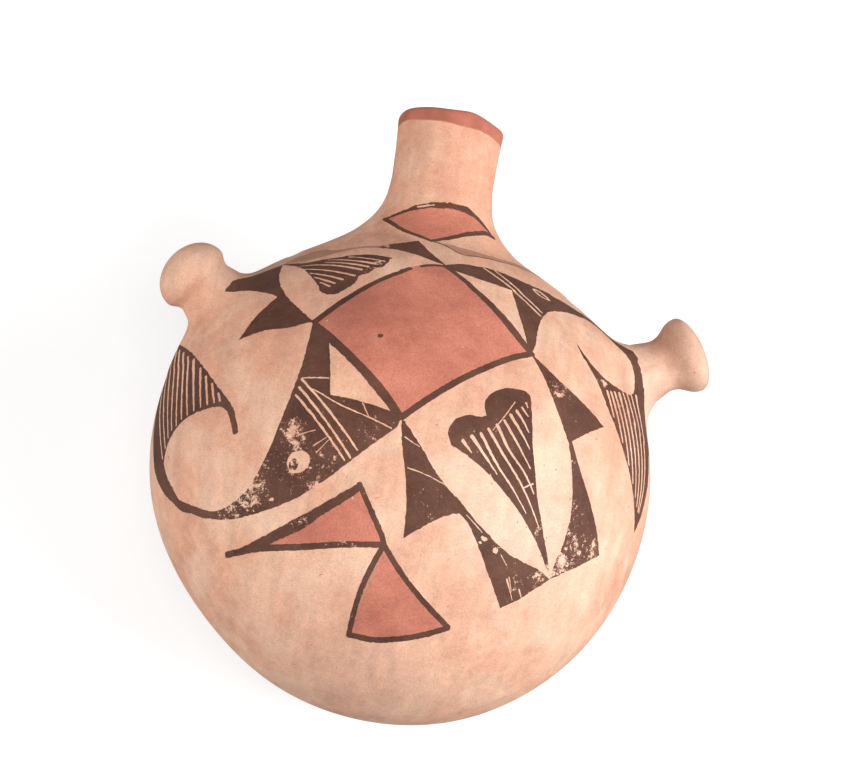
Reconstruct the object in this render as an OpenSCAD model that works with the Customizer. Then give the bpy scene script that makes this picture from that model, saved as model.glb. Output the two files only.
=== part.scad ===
/* [Body] */
// Greatest radius of the round body, at its widest ring
body_r = 125; // [105:1:150]
// Height of the painted front dome above the widest ring
front_h = 100; // [85:1:124]
// Depth of the back below the widest ring, down to the flat rest
back_h = 82; // [70:1:100]
// Radius of the flat rest in the middle of the back
rest_r = 55; // [40:1:70]
// Thickness of the clay wall
wall_t = 6.5; // [5:0.5:8]

/* [Neck] */
// Distance from the body's centre to the lip, along the neck
neck_reach = 184; // [178:1:210]
// Angle at which the neck rises from the plane of the widest ring
neck_rise = 16; // [0:1:20]
// Outer radius of the neck at its waist
neck_r = 26.5; // [25.5:0.5:32]
// Outer radius of the neck just under the lip
lip_r = 27.8; // [27:0.1:34]
// Radius of the straight bore through the neck
bore_r = 20; // [16:0.5:21]
// Radius on the body at which the flared root of the neck begins
neck_root_r = 68; // [58:1:72]
// Height of the lip above the neck's waist
neck_straight_h = 33; // [28:1:38]
// Roundness radius of the lip's two edges
lip_edge_r = 2.2; // [1.2:0.1:2.6]

/* [Lugs] */
// Radius on the body at which a lug's flared root begins
lug_root_r = 42; // [32:1:45]
// Angle at which the lugs rise from the plane of the widest ring
lug_rise = 14; // [0:1:20]

/* [Left lug] */
// Turn of the left lug away from the neck, seen from the front
left_lug_turn = 60; // [55:0.5:80]
// Distance from the body's centre to its tip
left_lug_reach = 156; // [154:1:175]
// Radius at its waist
left_lug_r = 15.4; // [11:0.1:16]
// Radius of its swollen end
left_lug_end_r = 18.5; // [17:0.5:23]
// Length from its waist to the widest ring of its end
left_lug_flare_h = 8; // [6:0.5:12]
// Height of the dome that closes it
left_lug_dome_h = 15; // [8:0.5:17]

/* [Right lug] */
// Turn of the right lug away from the neck, seen from the front
right_lug_turn = 61; // [55:0.5:80]
// Distance from the body's centre to its tip
right_lug_reach = 164; // [158:1:180]
// Radius at its waist
right_lug_r = 13.5; // [11:0.1:16]
// Radius of its flared end
right_lug_end_r = 19.5; // [17:0.5:23]
// Length from its waist to the rim of its end
right_lug_flare_h = 15.5; // [9:0.5:18]
// Height of the low dome that closes it
right_lug_dome_h = 7.5; // [5:0.5:12]

/* [Hidden] */
// The origin is the middle of the flat rest, +Z is the front and +Y is the side of the neck
$fn = 72;
clay = "#e8b898";
// Steps along a quarter of the body's profile
profile_steps = 22;
// Steps along a neck's or lug's wall, and along a rounded edge
wall_steps = 8;
edge_steps = 5;
// Rings along a lofted root, and its sides
root_rings = 9;
neck_sides = 40;
lug_sides = 28;
// Step inwards over which a root's foot reads the slope of the body
slope_step = 1;
// How deep a root's foot is bedded in the body
root_bed = 1.5;
// Step by which a root's last ring stays inside the wall that it carries
waist_step = 0.15;
// Shares of a root's width and height over which its curve follows the body and the waist
foot_pull = 0.5;
waist_pull = 0.55;
// Shares of a lug's flare over which its curve follows the waist and the rim
flare_pull = 0.5;
rim_pull = 0.45;
// How far the straight wall of a neck or lug reaches down into its root
wall_lap = 3.5;
// Turn of a round wall about its own axis, which keeps its seam between the edges of its root
seam_turn = 5;
// Overlap of solids that are cut
lap = 1;
waist_h = neck_reach - neck_straight_h;

// Half profile of the body at a depth inside its outer surface
function back_points(depth) = [
    for (i = [0:profile_steps])
        let (t = 90 - 90 * i / profile_steps)
            [rest_r + (body_r - depth - rest_r) * cos(t), -(back_h - depth) * sin(t)]
];

function front_points(depth) = [
    for (i = [1:profile_steps - 1])
        let (t = 90 * i / profile_steps)
            [(body_r - depth) * cos(t), (front_h - depth) * sin(t)]
];

function body_points(depth) = concat(
    [[0, depth - back_h]],
    back_points(depth),
    front_points(depth),
    [[0, front_h - depth]]
);

// How far a point lies outside that surface, as a share: below 0 is inside
function outside(p, depth) =
    let (
        r = norm([p.x, p.y]),
        at_back = p.z < 0,
        across = at_back ? (r - rest_r) / (body_r - depth - rest_r) : r / (body_r - depth),
        along = p.z / ((at_back ? back_h : front_h) - depth)
    )
        pow(max(across, 0), 2) + pow(along, 2) - 1;

// Direction of a limb that turns from +Y towards +X and rises towards +Z
function limb_axis(turn, rise) = [cos(rise) * sin(turn), cos(rise) * cos(turn), sin(rise)];

// Height along a limb at which a line beside its axis leaves the body, found by halving
function surface_h(axis, beside, depth, low = 0, high = neck_reach, halvings = 24) =
    let (middle = (low + high) / 2)
        halvings == 0 ? middle :
        outside(beside + middle * axis, depth) > 0
            ? surface_h(axis, beside, depth, low, middle, halvings - 1)
            : surface_h(axis, beside, depth, middle, high, halvings - 1);

function bezier(a, b, c, d, t) =
    pow(1 - t, 3) * a + 3 * t * pow(1 - t, 2) * b + 3 * t * t * (1 - t) * c + pow(t, 3) * d;

// Point of a root's curve, as [distance from the limb's axis, height along it]
function root_point(axis, spoke, foot_r, top_r, top_h, depth, t) =
    let (
        foot_h = surface_h(axis, foot_r * spoke, depth),
        slope = (surface_h(axis, (foot_r - slope_step) * spoke, depth) - foot_h) / slope_step,
        run = (foot_r - top_r) * foot_pull,
        climb = (top_h - foot_h) * waist_pull
    )
        bezier(
            [foot_r, foot_h - root_bed],
            [foot_r - run, foot_h - root_bed + slope * run],
            [top_r, top_h - climb],
            [top_r, top_h],
            t
        );

// Flared root, lofted from a ring that follows the body up to the waist of a neck or lug
module root(turn, rise, foot_r, top_r, top_h, depth, sides) {
    axis = limb_axis(turn, rise);
    across = [cos(turn), -sin(turn), 0];
    up = cross(across, axis);
    rings = [
        for (k = [0:root_rings], j = [0:sides - 1])
            let (
                spoke = cos(360 * j / sides) * across + sin(360 * j / sides) * up,
                p = root_point(axis, spoke, foot_r, top_r, top_h, depth, k / root_rings)
            )
                p.x * spoke + p.y * axis
    ];
    foot_centre = (surface_h(axis, foot_r * across, depth) - root_bed) * axis;
    foot = len(rings);
    top_ring = root_rings * sides;
    walls = [
        for (k = [0:root_rings - 1], j = [0:sides - 1])
            let (a = k * sides + j, b = k * sides + (j + 1) % sides)
                each [[a, b, a + sides], [b, b + sides, a + sides]]
    ];
    foot_faces = [for (j = [0:sides - 1]) [foot, (j + 1) % sides, j]];
    top_faces = [for (j = [0:sides - 1]) [foot + 1, top_ring + j, top_ring + (j + 1) % sides]];
    polyhedron(
        points = concat(rings, [foot_centre, top_h * axis]),
        faces = concat(walls, foot_faces, top_faces),
        convexity = 6
    );
}

// Puts what is drawn along +Z on the axis of a limb
module on_limb(turn, rise) {
    rotate([0, 0, -turn])
        rotate([rise - 90, 0, 0])
            rotate([0, 0, seam_turn])
                children();
}

// Upper neck: a tube that widens a little towards its rounded lip
module neck_tube() {
    edge_h = neck_reach - lip_edge_r;
    wall = [
        for (i = [0:wall_steps])
            let (t = i / wall_steps)
                [neck_r + (lip_r - neck_r) * t * t, waist_h + (edge_h - waist_h) * t]
    ];
    edge = [
        for (i = [1:edge_steps])
            let (a = 90 * i / edge_steps)
                [lip_r - lip_edge_r * (1 - cos(a)), edge_h + lip_edge_r * sin(a)]
    ];
    start = [[0, waist_h - wall_lap], [neck_r, waist_h - wall_lap]];
    on_limb(0, neck_rise)
        rotate_extrude()
            polygon(concat(start, wall, edge, [[0, neck_reach]]));
}

// Cutter that rounds the inner edge of the lip
module mouth_edge() {
    edge_h = neck_reach - lip_edge_r;
    edge = [
        for (i = [0:edge_steps])
            let (a = 90 * i / edge_steps)
                [bore_r + lip_edge_r * (1 - cos(a)), edge_h + lip_edge_r * sin(a)]
    ];
    end = [[bore_r + lip_edge_r, neck_reach + lap], [0, neck_reach + lap]];
    on_limb(0, neck_rise)
        rotate_extrude()
            polygon(concat([[0, edge_h]], edge, end));
}

// End of a lug: a flare that swings out from its waist to a soft rim, closed by a dome
module lug_end(turn, reach, waist_r, end_r, flare_h, dome_h) {
    rim_h = reach - dome_h;
    start_h = rim_h - flare_h;
    start = [[0, start_h - wall_lap], [waist_r, start_h - wall_lap]];
    flare = [
        for (i = [0:wall_steps])
            bezier(
                [waist_r, start_h],
                [waist_r, start_h + flare_h * flare_pull],
                [end_r, rim_h - flare_h * rim_pull],
                [end_r, rim_h],
                i / wall_steps
            )
    ];
    dome = [
        for (i = [1:wall_steps - 1])
            let (a = 90 * i / wall_steps)
                [end_r * cos(a), rim_h + dome_h * sin(a)]
    ];
    on_limb(turn, lug_rise)
        rotate_extrude()
            polygon(concat(start, flare, dome, [[0, reach]]));
}

// Lug that a carrying cord is tied round
module lug(turn, reach, waist_r, end_r, flare_h, dome_h) {
    root(turn, lug_rise, lug_root_r, waist_r - waist_step, reach - dome_h - flare_h, 0, lug_sides);
    lug_end(turn, reach, waist_r, end_r, flare_h, dome_h);
}

module left_lug() {
    lug(-left_lug_turn, left_lug_reach, left_lug_r, left_lug_end_r, left_lug_flare_h, left_lug_dome_h);
}

module right_lug() {
    lug(right_lug_turn, right_lug_reach, right_lug_r, right_lug_end_r, right_lug_flare_h, right_lug_dome_h);
}

module outer_form() {
    rotate_extrude()
        polygon(body_points(0));
    root(0, neck_rise, neck_root_r, neck_r - waist_step, waist_h, 0, neck_sides);
    neck_tube();
    left_lug();
    right_lug();
}

// Hollow: the chamber, the funnel that follows the neck's root, and the straight bore
module hollow() {
    bore_h = waist_h - wall_t;
    rotate_extrude()
        polygon(body_points(wall_t));
    root(0, neck_rise, neck_root_r - wall_t, bore_r - waist_step, bore_h, wall_t, neck_sides);
    on_limb(0, neck_rise)
        translate([0, 0, bore_h - wall_lap])
            cylinder(r = bore_r, h = neck_reach - bore_h + wall_lap + lap);
    mouth_edge();
}

// The whole vessel, one piece of fired clay
module canteen() {
    color(clay)
        translate([0, 0, back_h])
            difference() {
                outer_form();
                hollow();
            }
}

canteen();
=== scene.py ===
import math

import bmesh
import bpy
import numpy as np
from mathutils import Matrix, Vector
from mathutils.geometry import delaunay_2d_cdt
from mathutils.kdtree import KDTree


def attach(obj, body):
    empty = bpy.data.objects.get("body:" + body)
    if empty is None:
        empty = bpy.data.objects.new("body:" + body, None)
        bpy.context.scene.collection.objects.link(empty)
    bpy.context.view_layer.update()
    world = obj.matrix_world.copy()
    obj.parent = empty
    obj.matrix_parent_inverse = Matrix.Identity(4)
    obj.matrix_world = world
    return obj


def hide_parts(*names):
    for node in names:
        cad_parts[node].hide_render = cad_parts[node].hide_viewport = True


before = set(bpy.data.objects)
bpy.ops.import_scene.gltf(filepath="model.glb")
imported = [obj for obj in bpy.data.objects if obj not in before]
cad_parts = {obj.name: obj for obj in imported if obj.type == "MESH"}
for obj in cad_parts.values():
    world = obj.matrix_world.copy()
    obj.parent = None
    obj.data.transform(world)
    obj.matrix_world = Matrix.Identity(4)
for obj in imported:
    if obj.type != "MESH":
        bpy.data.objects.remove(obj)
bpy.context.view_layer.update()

# Lengths are in millimetres and angles in degrees, as in the part's source, until a mesh is made
MM = 0.001

# Body, and the height of its centre above the flat rest
BODY_R = 125.0
FRONT_H = 100.0
BACK_H = 82.0
REST_R = 55.0
WALL = 6.5

# Neck
NECK_REACH = 184.0
NECK_RISE = 16.0
NECK_R = 26.5
LIP_R = 27.8
BORE_R = 20.0
NECK_ROOT_R = 68.0
NECK_STRAIGHT_H = 33.0
LIP_EDGE_R = 2.2
# Painted band below the lip: its mean width, how much it widens to one side, how softly it ends, its
# reach inside, and how far outside the lip's radius a point may lie and still take it
BAND_W = 8.0
BAND_SWING = 1.0
BAND_FADE = 2.0
BAND_INSIDE = 4.0
BAND_OUTSIDE = 5.0
# How far the neck leans to one side, and the heights along it between which the lean grows
NECK_LEAN = (-2.1, 0.0, -0.4)
LEAN_FROM = 98.0
LEAN_TO = 140.0
# The lip's uneven edge: each wave's angle round the neck, spread and rise, and the height of neck it takes
LIP_WAVES = [(40, 22, -1.3), (160, 24, 0.9), (100, 18, -0.4), (76, 13, 0.5)]
LIP_WAVE_H = 14.0
# How much slimmer the neck is than its true form
NECK_SLIM = 0.4
# How far the end of the right lug is bent, and the heights along it between which the bend grows
LUG_BEND = (-0.15, 0.7, 0.4)
BEND_FROM = 125.0
BEND_TO = 150.0

# Lugs: the radius at which their roots begin and their rise, then each one's turn away from the neck,
# the reach of its tip, the radius at its waist and at the widest ring of its end, and the heights of the
# flare and of the dome that closes it
LUG_ROOT_R = 42.0
LUG_RISE = 14.0
LEFT_LUG = {"turn": -60.0, "reach": 156.0, "waist_r": 15.4, "end_r": 18.5, "flare_h": 8.0, "dome_h": 15.0}
RIGHT_LUG = {"turn": 61.0, "reach": 164.0, "waist_r": 13.5, "end_r": 19.5, "flare_h": 15.5, "dome_h": 7.5}
# Shares of a flare's height over which its curve follows the waist and the rim
FLARE_PULL = 0.5
RIM_PULL = 0.45

# Shares of a root's width and height over which its curve follows the body and the waist
FOOT_PULL = 0.5
WAIST_PULL = 0.55
# How deep a root's foot is bedded in the body, and the step inwards over which it reads the body's slope
ROOT_BED = 1.5
SLOPE_STEP = 1.0
# Depth over which two forms melt into each other
MELT = 3.5

# Mesh: spacing of its points and of the points along a painted edge
GRID = 2.7
EDGE_STEP = 1.7
# Angle from the painting's middle at which the front chart meets the back one, and sides of round parts
SEAM_ANGLE = 118.0
SEAM_SIDES = 280
NECK_SIDES = 96
LUG_SIDES = 48
BLOB_SIDES = 14
# Distance between the rows of a triangular grid and from an outline to the grid, in spacings
ROW_SHARE = 0.866
CLEAR_SHARE = 0.6
# Steps along the neck, its painted band, the lip's two edges, the bore, the chamber and a lug's end
NECK_STEPS = 14
BAND_STEPS = 3
LIP_STEPS = 4
BORE_STEPS = 14
CHAMBER_STEPS = 69
FLARE_STEPS = 12
DOME_STEPS = 14
# Halvings that find where a line leaves the body
HALVINGS = 26

# Direction of the painting's centre: its angle from +Z and its turn from +Y
PAINT_TILT = 12.2
PAINT_TURN = -26.9

# Camera: where it looks from, and where the body's centre lies in the 861 x 768 frame
CAMERA_TURN = -13.69
CAMERA_ELEVATION = 59.0
CAMERA_ROLL = 22.25
CAMERA_DISTANCE = 1200.0
CAMERA_LENS = 101.0
SENSOR_W = 36.0
FRAME_W = 861
FRAME_H = 768
BODY_CENTRE_PX = (402.0, 471.7)

# Seeds of the brush's wander and of the wall's slow swells
PAINT_SEED = 7
FORM_SEED = 11
rng = np.random.default_rng(PAINT_SEED)


def placed(name, data):
    """A new object in the scene."""
    thing = bpy.data.objects.new(name, data)
    bpy.context.scene.collection.objects.link(thing)
    return thing


# Directions and lengths

def unit(vectors):
    return vectors / np.linalg.norm(vectors, axis=-1, keepdims=True)


def full_turn(sides):
    return np.arange(sides) * 2 * np.pi / sides


def bezier(controls, t):
    weights = [(1 - t) ** 3, 3 * t * (1 - t) ** 2, 3 * t * t * (1 - t), t ** 3]
    return sum(w * c for w, c in zip(weights, controls))


def limb_axis(turn, rise):
    turn, rise = math.radians(turn), math.radians(rise)
    return np.array([math.cos(rise) * math.sin(turn), math.cos(rise) * math.cos(turn), math.sin(rise)])


def body_radius(directions, depth):
    """Distance from the body's centre to its surface, or to a surface at a depth inside it."""
    beside = np.hypot(directions[..., 0], directions[..., 1])
    along = directions[..., 2]
    front = 1 / np.sqrt((beside / (BODY_R - depth)) ** 2 + (along / (FRONT_H - depth)) ** 2)
    bulge = BODY_R - depth - REST_R
    square = (beside / bulge) ** 2 + (along / (BACK_H - depth)) ** 2
    linear = -2 * REST_R * beside / bulge ** 2
    constant = (REST_R / bulge) ** 2 - 1
    back = (-linear + np.sqrt(np.maximum(linear ** 2 - 4 * square * constant, 0))) / (2 * square)
    flat = (BACK_H - depth) / np.maximum(-along, 1e-9)
    back = np.where(back * beside >= REST_R, back, flat)
    return np.where(along >= 0, front, back)


def leaving_height(axis, beside, depth):
    """Height along a limb's axis at which lines beside it leave the body, found by halving."""
    low = np.zeros(len(beside))
    high = np.full(len(beside), NECK_REACH)
    for _ in range(HALVINGS):
        middle = (low + high) / 2
        points = beside + middle[:, None] * axis
        reach = np.linalg.norm(points, axis=1)
        out = reach > body_radius(points / reach[:, None], depth)
        high = np.where(out, middle, high)
        low = np.where(out, low, middle)
    return (low + high) / 2


def smooth_max(a, b):
    overlap = np.maximum(MELT - np.abs(a - b), 0) / MELT
    return np.maximum(a, b) + overlap ** 2 * MELT / 4


class Limb:
    """A neck or lug: its axis, and the flared root that carries it, as a table of its reach by spoke and
    by angle from the axis."""

    SPOKES = 180
    STEPS = 60
    ANGLES = 160
    # Angle in radians that the table goes on past the root's foot
    PAST_FOOT = 0.1

    def __init__(self, turn, rise, foot_r, top_r, top_h, depth=0.0):
        self.axis = limb_axis(turn, rise)
        self.across = np.array([math.cos(math.radians(turn)), -math.sin(math.radians(turn)), 0.0])
        self.up = np.cross(self.across, self.axis)
        self.waist_angle = math.atan2(top_r, top_h)
        spokes = self.spokes(full_turn(self.SPOKES))
        foot_h = leaving_height(self.axis, foot_r * spokes, depth)
        slope = (leaving_height(self.axis, (foot_r - SLOPE_STEP) * spokes, depth) - foot_h) / SLOPE_STEP
        foot_h = foot_h - ROOT_BED
        run = (foot_r - top_r) * FOOT_PULL
        climb = (top_h - foot_h) * WAIST_PULL
        t = np.linspace(0, 1, self.STEPS)[:, None]
        height = bezier([foot_h, foot_h + slope * run, top_h - climb, top_h], t)
        beside = np.broadcast_to(bezier([foot_r, foot_r - run, top_r, top_r], t), height.shape)
        angle = np.arctan2(beside, height)
        reach = np.hypot(beside, height)
        self.angles = np.linspace(0, angle.max() + self.PAST_FOOT, self.ANGLES)
        lines = [self.root_line(angle[::-1, j], reach[::-1, j]) for j in range(self.SPOKES)]
        self.table = np.array(lines)

    def root_line(self, angle, reach):
        """Reach of the root along one spoke. Past its foot it dives below the body."""
        dive = np.maximum(self.angles - angle[-1], 0) * BODY_R
        return np.interp(self.angles, angle, reach) - dive

    def spokes(self, turns):
        return np.cos(turns)[:, None] * self.across + np.sin(turns)[:, None] * self.up

    def ring(self, radius, height, sides):
        """Points round the axis. The radius and the height may be one number, or one for each side."""
        spokes = self.spokes(full_turn(sides))
        radius = np.broadcast_to(radius, sides)[:, None]
        height = np.broadcast_to(height, sides)[:, None]
        return radius * spokes + height * self.axis

    def reach(self, directions):
        """Distance from the body's centre to the root's surface along each direction, 0 if it misses."""
        angle = np.arccos(np.clip(directions @ self.axis, -1, 1))
        turn = np.arctan2(directions @ self.up, directions @ self.across) % (2 * np.pi)
        side = turn / (2 * np.pi) * self.SPOKES
        low_side = np.floor(side).astype(int) % self.SPOKES
        share = side - np.floor(side)
        row = angle / self.angles[-1] * (self.ANGLES - 1)
        low_row = np.clip(np.floor(row).astype(int), 0, self.ANGLES - 2)
        rise = row - low_row

        def on(spoke):
            return self.table[spoke, low_row] * (1 - rise) + self.table[spoke, low_row + 1] * rise

        found = on(low_side) * (1 - share) + on((low_side + 1) % self.SPOKES) * share
        return np.where(angle < self.angles[-1], found, 0.0)


NECK_WAIST_H = NECK_REACH - NECK_STRAIGHT_H
neck = Limb(0, NECK_RISE, NECK_ROOT_R, NECK_R, NECK_WAIST_H)
funnel = Limb(0, NECK_RISE, NECK_ROOT_R - WALL, BORE_R, NECK_WAIST_H - WALL, WALL)


def lug_waist_h(lug):
    return lug["reach"] - lug["dome_h"] - lug["flare_h"]


def lug_limb(lug):
    return Limb(lug["turn"], LUG_RISE, LUG_ROOT_R, lug["waist_r"], lug_waist_h(lug))


left_lug = lug_limb(LEFT_LUG)
right_lug = lug_limb(RIGHT_LUG)


def lifted(directions, depth, limbs):
    """Points of the vessel's surface along directions from the body's centre."""
    reach = body_radius(directions, depth)
    for limb in limbs:
        reach = smooth_max(reach, limb.reach(directions))
    return reach[:, None] * directions


class Chart:
    """A flat map of the surface about one direction: true distances from its middle on a ball of BODY_R."""

    def __init__(self, middle):
        self.middle = unit(np.array(middle, float))
        toward_neck = np.array([0.0, 1.0, 0.0])
        self.north = unit(toward_neck - (toward_neck @ self.middle) * self.middle)
        self.east = np.cross(self.north, self.middle)

    def directions(self, flat):
        angle = np.linalg.norm(flat, axis=1) / BODY_R
        scale = np.sinc(angle / np.pi) / BODY_R
        return (np.cos(angle)[:, None] * self.middle
                + (flat[:, 0] * scale)[:, None] * self.east
                + (flat[:, 1] * scale)[:, None] * self.north)

    def flat(self, directions):
        directions = unit(directions)
        east = directions @ self.east
        north = directions @ self.north
        angle = np.arccos(np.clip(directions @ self.middle, -1, 1))
        scale = angle * BODY_R / np.maximum(np.hypot(east, north), 1e-9)
        return np.stack([east * scale, north * scale], axis=1)


paint_middle = limb_axis(PAINT_TURN, 90 - PAINT_TILT)
front = Chart(paint_middle)
back = Chart(-paint_middle)


# Outlines of the painting, in millimetres on the front chart: x to the right, y towards the neck

def smooth(points):
    """A curve through points, with a point about every EDGE_STEP."""
    points = np.array(points, float)
    padded = np.vstack([2 * points[0] - points[1], points, 2 * points[-1] - points[-2]])
    curve = [points[:1]]
    for a, b, c, d in zip(padded, padded[1:], padded[2:], padded[3:]):
        count = max(1, int(round(np.linalg.norm(c - b) / EDGE_STEP)))
        t = (np.arange(count) + 1)[:, None] / count
        curve.append(0.5 * (2 * b + (c - a) * t + (2 * a - 5 * b + 4 * c - d) * t ** 2
                            + (3 * b - a - 3 * c + d) * t ** 3))
    return np.vstack(curve)


# How far the points of an area's edge, of a stroke and of a blob stray
EDGE_WANDER = 0.16
STROKE_WANDER = 0.1
BLOB_WANDER = 0.2


def shaky(curve, amount):
    """The small wander of a brush, the same on every run."""
    return curve + rng.normal(0, amount, curve.shape)


def area(*edges):
    """A closed outline of smooth edges. Each edge starts where the one before it ends."""
    corner = edges[-1][-1]
    curves = []
    for edge in edges:
        curves.append(smooth([corner] + list(edge))[1:])
        corner = edge[-1]
    return shaky(np.vstack(curves), EDGE_WANDER)


def stroke(points, width, end_width=None):
    """A brush stroke along points, with round ends. It may narrow towards its end."""
    line = smooth(points)
    end_width = width if end_width is None else end_width
    ahead = unit(np.gradient(line, axis=0))
    side = np.stack([-ahead[:, 1], ahead[:, 0]], axis=1)
    half = np.linspace(width, end_width, len(line))[:, None] / 2
    turns = np.radians([60, 30, 0, -30, -60])[:, None]
    end_cap = line[-1] + half[-1] * (np.cos(turns) * ahead[-1] + np.sin(turns) * side[-1])
    start_cap = line[0] - half[0] * (np.cos(turns) * ahead[0] + np.sin(turns) * side[0])
    outline = [line + half * side, end_cap, (line - half * side)[::-1], start_cap]
    return shaky(np.vstack(outline), STROKE_WANDER)


def blob(x, y, width, height, turn=0.0):
    """An oval, turned anticlockwise."""
    turns = full_turn(BLOB_SIDES)
    spread = np.stack([width / 2 * np.cos(turns), height / 2 * np.sin(turns)], axis=1)
    c, s = math.cos(math.radians(turn)), math.sin(math.radians(turn))
    return shaky(spread @ np.array([[c, s], [-s, c]]) + [x, y], BLOB_WANDER)


def gaps(lines, end_width):
    """Slip-coloured strokes that narrow towards their ends, from their points and widths."""
    for points, width in lines:
        yield SLIP, stroke(points, width, end_width)


# What a face shows, by the number of its material
SLIP, BLACK, RED, WASH, CLAY = range(5)
LINE_W = 3.9

# Corners of the red field in the middle, and its sides, read at the outer edge of its dark line
WEST = (-64, 9)
NORTH = (8, 65)
EAST = (64.3, 10.4)
SOUTH = (-8.2, -53.8)
NORTH_WEST_SIDE = [(-47.5, 26.3), (-28.6, 44.3), (-12.7, 56.5), (-1, 62.8), NORTH]
NORTH_EAST_SIDE = [(30, 45), (43, 32), (53, 21), EAST]
SOUTH_EAST_SIDE = [(52.3, 1.6), (35.1, -13.4), (18.4, -28.5), SOUTH]
SOUTH_WEST_SIDE = [(-19, -40), (-29, -29), (-42, -15), WEST]
FIELD_MIDDLE = (0, 7)
LINE_INSET = 1.3


def inset(points, middle, by=LINE_INSET):
    """Points moved towards a middle: from the outer edge of a dark line to its centre."""
    points = np.array(points, float)
    return points + by * unit(np.array(middle, float) - points)


def middle_field():
    sides = [NORTH_WEST_SIDE, NORTH_EAST_SIDE, SOUTH_EAST_SIDE, SOUTH_WEST_SIDE]
    yield RED, area(*sides)
    yield BLACK, stroke(inset([WEST] + NORTH_WEST_SIDE[:3], FIELD_MIDDLE), LINE_W, 3.0)
    yield BLACK, stroke(inset([(-6, 60.6), (0, 63.4), NORTH], FIELD_MIDDLE), 2.4)
    yield BLACK, stroke(inset([NORTH] + NORTH_EAST_SIDE, FIELD_MIDDLE), 3.2)
    yield BLACK, stroke([EAST] + SOUTH_EAST_SIDE, LINE_W)
    yield BLACK, stroke([SOUTH] + SOUTH_WEST_SIDE, 2.7)
    yield BLACK, blob(-25.7, -2.3, 3.4, 2.7)
    yield WASH, blob(-30.8, -5.3, 4.2, 1.5, 30)
    yield SLIP, blob(-56.3, 8.6, 1.2, 1.0)
    yield SLIP, blob(22.6, -1.1, 1.3, 1.0)


def near_wedges():
    """The stepped dark wedges on both sides of the near heart's petal."""
    tip = (101, -116.2)
    yield BLACK, area(
        [(-6.8, -66.4), (-2.8, -83.2), (0.8, -99.5), (1.9, -118.8)],
        [(21, -106.2), (33.2, -100.9)],
        [(41, -106.5), (49.6, -117), (58.8, -128.4), (71, -141.8)],
        [(83.2, -133), tip],
        [(90, -114.5), (78, -114.5), (66, -113), (54, -108), (43, -102), (32, -94), (25, -90), (15, -81),
         (4, -68), SOUTH],
    )
    yield BLACK, area(
        [(84, 0), (101, -6), (118, -12)],
        [(108, -23), (97, -36)],
        [(106, -50), (117, -63), (127.4, -75), (135.8, -86.6)],
        [(117.5, -103), tip],
        [(101.6, -106), (104, -97), (105.3, -83), (104.3, -71), (101.3, -57), (96.4, -42), (90.5, -31),
         (82.6, -18), (74.2, -4), (66, 7), EAST],
    )


# Slip-coloured gaps of the two hearts: each starts at the lobes, and the last number is its width
NEAR_HEART_GAPS = [
    ([(29.4, -61.4), (35.4, -66.6)], 2.4),
    ([(34.5, -57.3), (43.6, -66.3), (52.6, -74.4)], 2.4),
    ([(39.6, -54.2), (50.7, -68), (63.6, -79.3), (74.6, -89.3)], 1.9),
    ([(43.7, -50.2), (54.7, -62.2), (70.6, -77.3), (84.6, -93.2)], 1.9),
    ([(48.7, -46.2), (57.7, -58.2), (69.6, -68.3), (77.6, -77.3)], 2.1),
    ([(52.6, -42), (62.6, -53.1), (72.6, -64.2)], 1.9),
    ([(56, -37.2), (65.5, -47.2), (70.5, -53.2)], 2.2),
    ([(59.4, -33.2), (64.4, -38.2), (68.5, -43.6)], 2.0),
    ([(62.3, -29.7), (66.8, -33.7)], 1.4),
    ([(64.4, -25.7), (65.8, -28.2)], 1.3),
]
FAR_HEART_GAPS = [
    ([(-57, 37.3), (-62.4, 41.7)], 1.5),
    ([(-54.3, 39.8), (-66.2, 47.6)], 1.5),
    ([(-49.9, 42.9), (-69.2, 53.2)], 1.6),
    ([(-43.4, 46.2), (-72.8, 59.7)], 1.7),
    ([(-39.9, 52.1), (-77, 67.1)], 1.8),
    ([(-36.3, 55.3), (-61.5, 64.2)], 1.8),
    ([(-32.2, 57.9), (-60, 67.6)], 1.4),
    ([(-27.2, 60.7), (-48, 67)], 1.2),
]


def near_heart():
    tip = (100, -115.2)
    yield BLACK, area(
        [(93.4, -109.2), (85.2, -101.8), (73.1, -92.3), (61.1, -84.3), (47.2, -75.8), (33.4, -69.2),
         (22.6, -65)],
        [(19.8, -58.8), (21.5, -52.3), (25.5, -47.8), (31.5, -44.8), (37.3, -44.6), (41.5, -42.5)],
        [(39.5, -36), (41, -30), (45, -25), (52, -20.5), (59.5, -18.5), (64.5, -18.5), (67, -21.5)],
        [(69.8, -36), (72.1, -50), (75.6, -63), (80.6, -79), (88, -94), (95.8, -107), tip],
    )
    yield from gaps(NEAR_HEART_GAPS, 0.7)
    yield SLIP, stroke([(57.5, -28), (52, -40), (46.5, -50)], 0.7, 0.5)
    yield SLIP, stroke([(76, -72), (70, -77)], 0.9, 0.6)


def far_heart():
    tip = (-88.8, 80.8)
    yield BLACK, area(
        [(-80.3, 69.6), (-74.2, 61.3), (-70.1, 53.5), (-67, 46.3), (-63, 38.2)],
        [(-61.8, 33.2), (-57.3, 30), (-52.4, 30.1), (-47.6, 33.9), (-42.9, 39.1), (-41.2, 45.8)],
        [(-35.1, 49.2), (-31.9, 53.9), (-26.9, 55.8), (-23.8, 64.2)],
        [(-29.2, 66.6), (-36.1, 68.4), (-48.1, 68.6), (-61.9, 69.8), (-75.1, 71.8), tip],
    )
    yield from gaps(FAR_HEART_GAPS, 0.8)
    yield BLACK, stroke([(-23.8, 64.5), (-36, 67.6), (-48, 67.9), (-62, 69.1), (-75, 71.2), tip], 1.5)


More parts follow.
